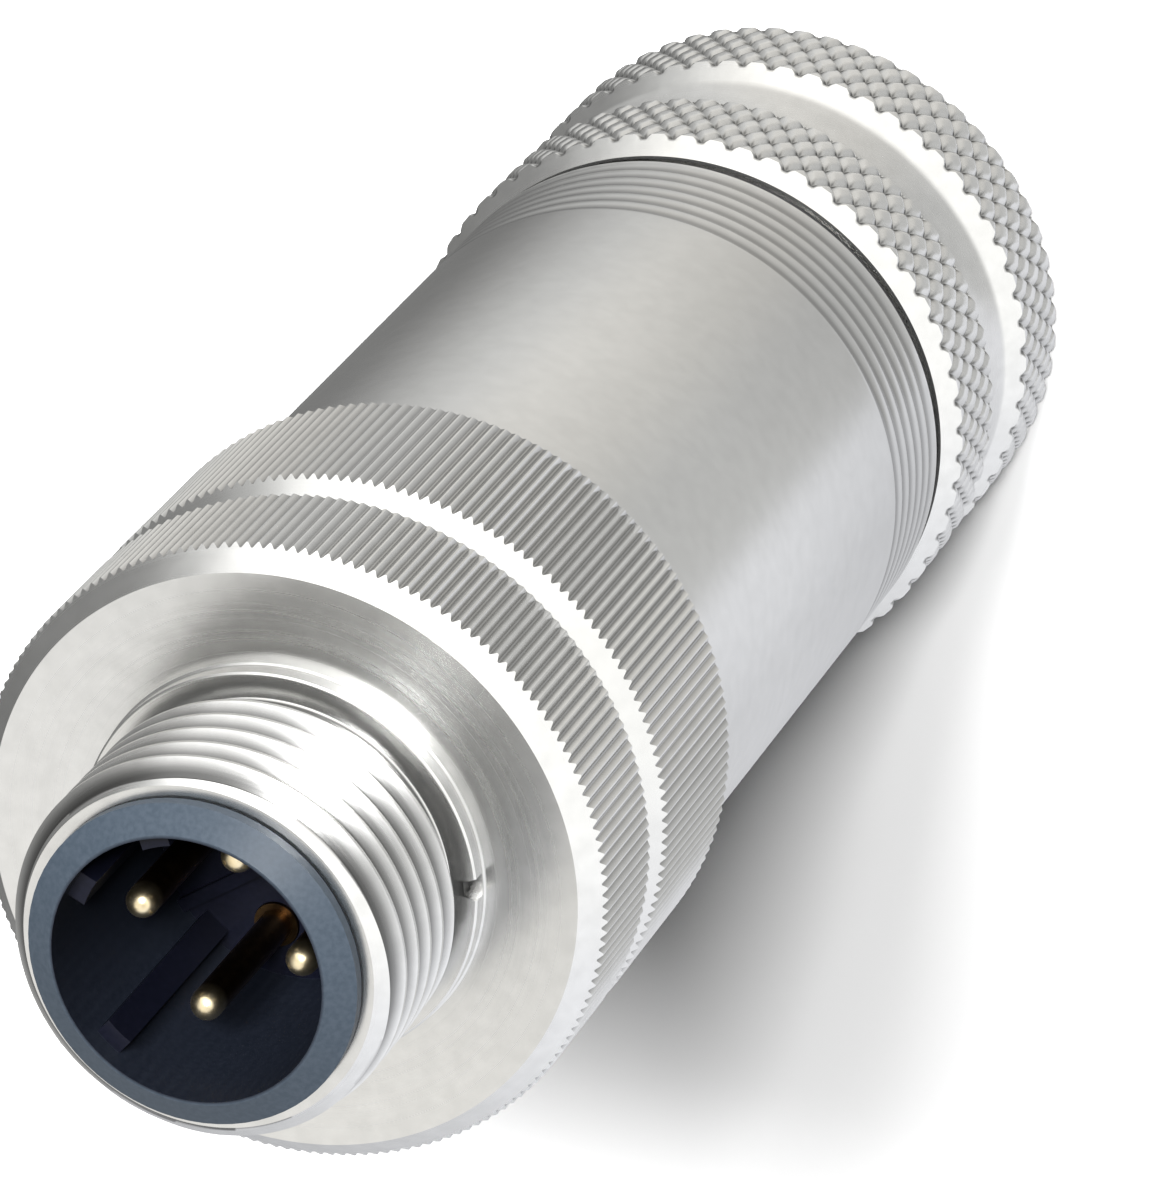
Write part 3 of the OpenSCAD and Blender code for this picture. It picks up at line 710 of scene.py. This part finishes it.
def gold_on_pins():
    """Gold plate: on the domed tips a little paler than plain gold as a painted highlight, and
    painted dark brown further down as the shade of the dark recess.
    """
    material, tree = new_finish("gold_plate", (0.86, 0.72, 0.45), 1.0, 0.3)
    shader = tree.nodes["Principled BSDF"]
    spot = tree.nodes.new("ShaderNodeTexCoord")
    parts = tree.nodes.new("ShaderNodeSeparateXYZ")
    tree.links.new(spot.outputs["Object"], parts.inputs[0])
    tip_z = span("contact_pin_1")[1] * MM
    # Painted shade below 0.9 mm under the tip, fading into the painted highlight of the top 0.3 mm.
    rise = spread(tree, parts.outputs["Z"], 0, 1, tip_z - 0.9 * MM, tip_z - 0.3 * MM)
    grain = noise(tree, spot.outputs["Object"], 3000, 3)
    # Painted shade in dark brown, painted highlight in pale gold.
    brown = grain_tint(tree, grain, (0.07, 0.04, 0.018), (0.10, 0.06, 0.026))
    pale = grain_tint(tree, grain, (0.84, 0.70, 0.44), (0.92, 0.80, 0.55))
    tint = mix_colours(tree, rise.outputs[0], brown, pale)
    tree.links.new(tint.outputs[2], shader.inputs["Base Color"])
    gloss = spread(tree, grain.outputs["Fac"], 0.26, 0.36)
    tree.links.new(gloss.outputs[0], shader.inputs["Roughness"])
    return material


def make_finishes():
    """All the finishes, by the name of the record's material slot."""
    return {
        "nickel_nut": plated_metal(
            "nickel_on_nuts", (0.64, 0.64, 0.63), (0.70, 0.70, 0.69), 0.2, 0.32),
        "nickel_housing": plated_metal(
            "nickel_on_housing", (0.63, 0.63, 0.62), (0.67, 0.67, 0.66), 0.2, 0.28),
        "nickel_inner": plated_metal(
            "nickel_inside", (0.62, 0.60, 0.56), (0.72, 0.71, 0.68), 0.2, 0.3),
        "spring_bronze": plated_metal(
            "bare_bronze", (0.55, 0.37, 0.17), (0.68, 0.48, 0.24), 0.25, 0.35),
        "contact_gold": gold_on_pins(),
        "steel_small": plated_metal(
            "bright_steel", (0.5, 0.5, 0.5), (0.62, 0.62, 0.62), 0.25, 0.35),
        "insulator_black": insulator(),
        "block_black": moulded("block_plastic", (0.04, 0.04, 0.045), 0.45),
        "rubber_black": moulded("seal_rubber", (0.015, 0.015, 0.016), 0.6),
        "cage_plastic": moulded("cage_nylon", (0.75, 0.75, 0.7), 0.4),
        "slip_plastic": moulded("slip_sheet", (0.85, 0.85, 0.83), 0.3),
    }


# ---------------------------------------------------------------- assembly

def dress_cad_nodes(finishes):
    """Gives each CAD node the finish of its slot in the record."""
    slots = {part["node"]: part["material_slot"] for part in frame["record"]["subparts"]}
    for node, piece in frame["nodes"].items():
        piece.data.materials.clear()
        piece.data.materials.append(finishes[slots[node]])


def fit(piece, body, node, slot, finishes):
    """Lets a detailed piece ride on a body and stand for a CAD node."""
    piece.data.materials.append(finishes[slot])
    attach(piece, body)
    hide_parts(node)


def main():
    """Builds the whole scene."""
    right, up, back = add_camera()
    add_world(atan2(back.y, back.x))
    add_floor()
    add_softbox("key_light", back + 0.055 * up - 0.055 * right, 0.09, KEY_POWER)
    floor_light = add_softbox("floor_light", back + 0.14 * up - 0.3 * right, 0.16, FLOOR_POWER)
    floor_light.visible_glossy = False
    add_softbox("fill_light", back + 0.5 * up - 0.5 * right, 0.5, FILL_POWER)
    finishes = make_finishes()
    dress_cad_nodes(finishes)
    fit(make_coupling_nut(), "coupling_nut", "coupling_nut", "nickel_nut", finishes)
    fit(make_housing(), "housing", "housing", "nickel_housing", finishes)
    fit(make_gland_nut(), "gland_nut", "gland_nut", "nickel_nut", finishes)
    fit(make_front_shell(), "insert", "front_shell", "nickel_inner", finishes)
    bpy.context.scene.view_settings.view_transform = "Standard"


main()
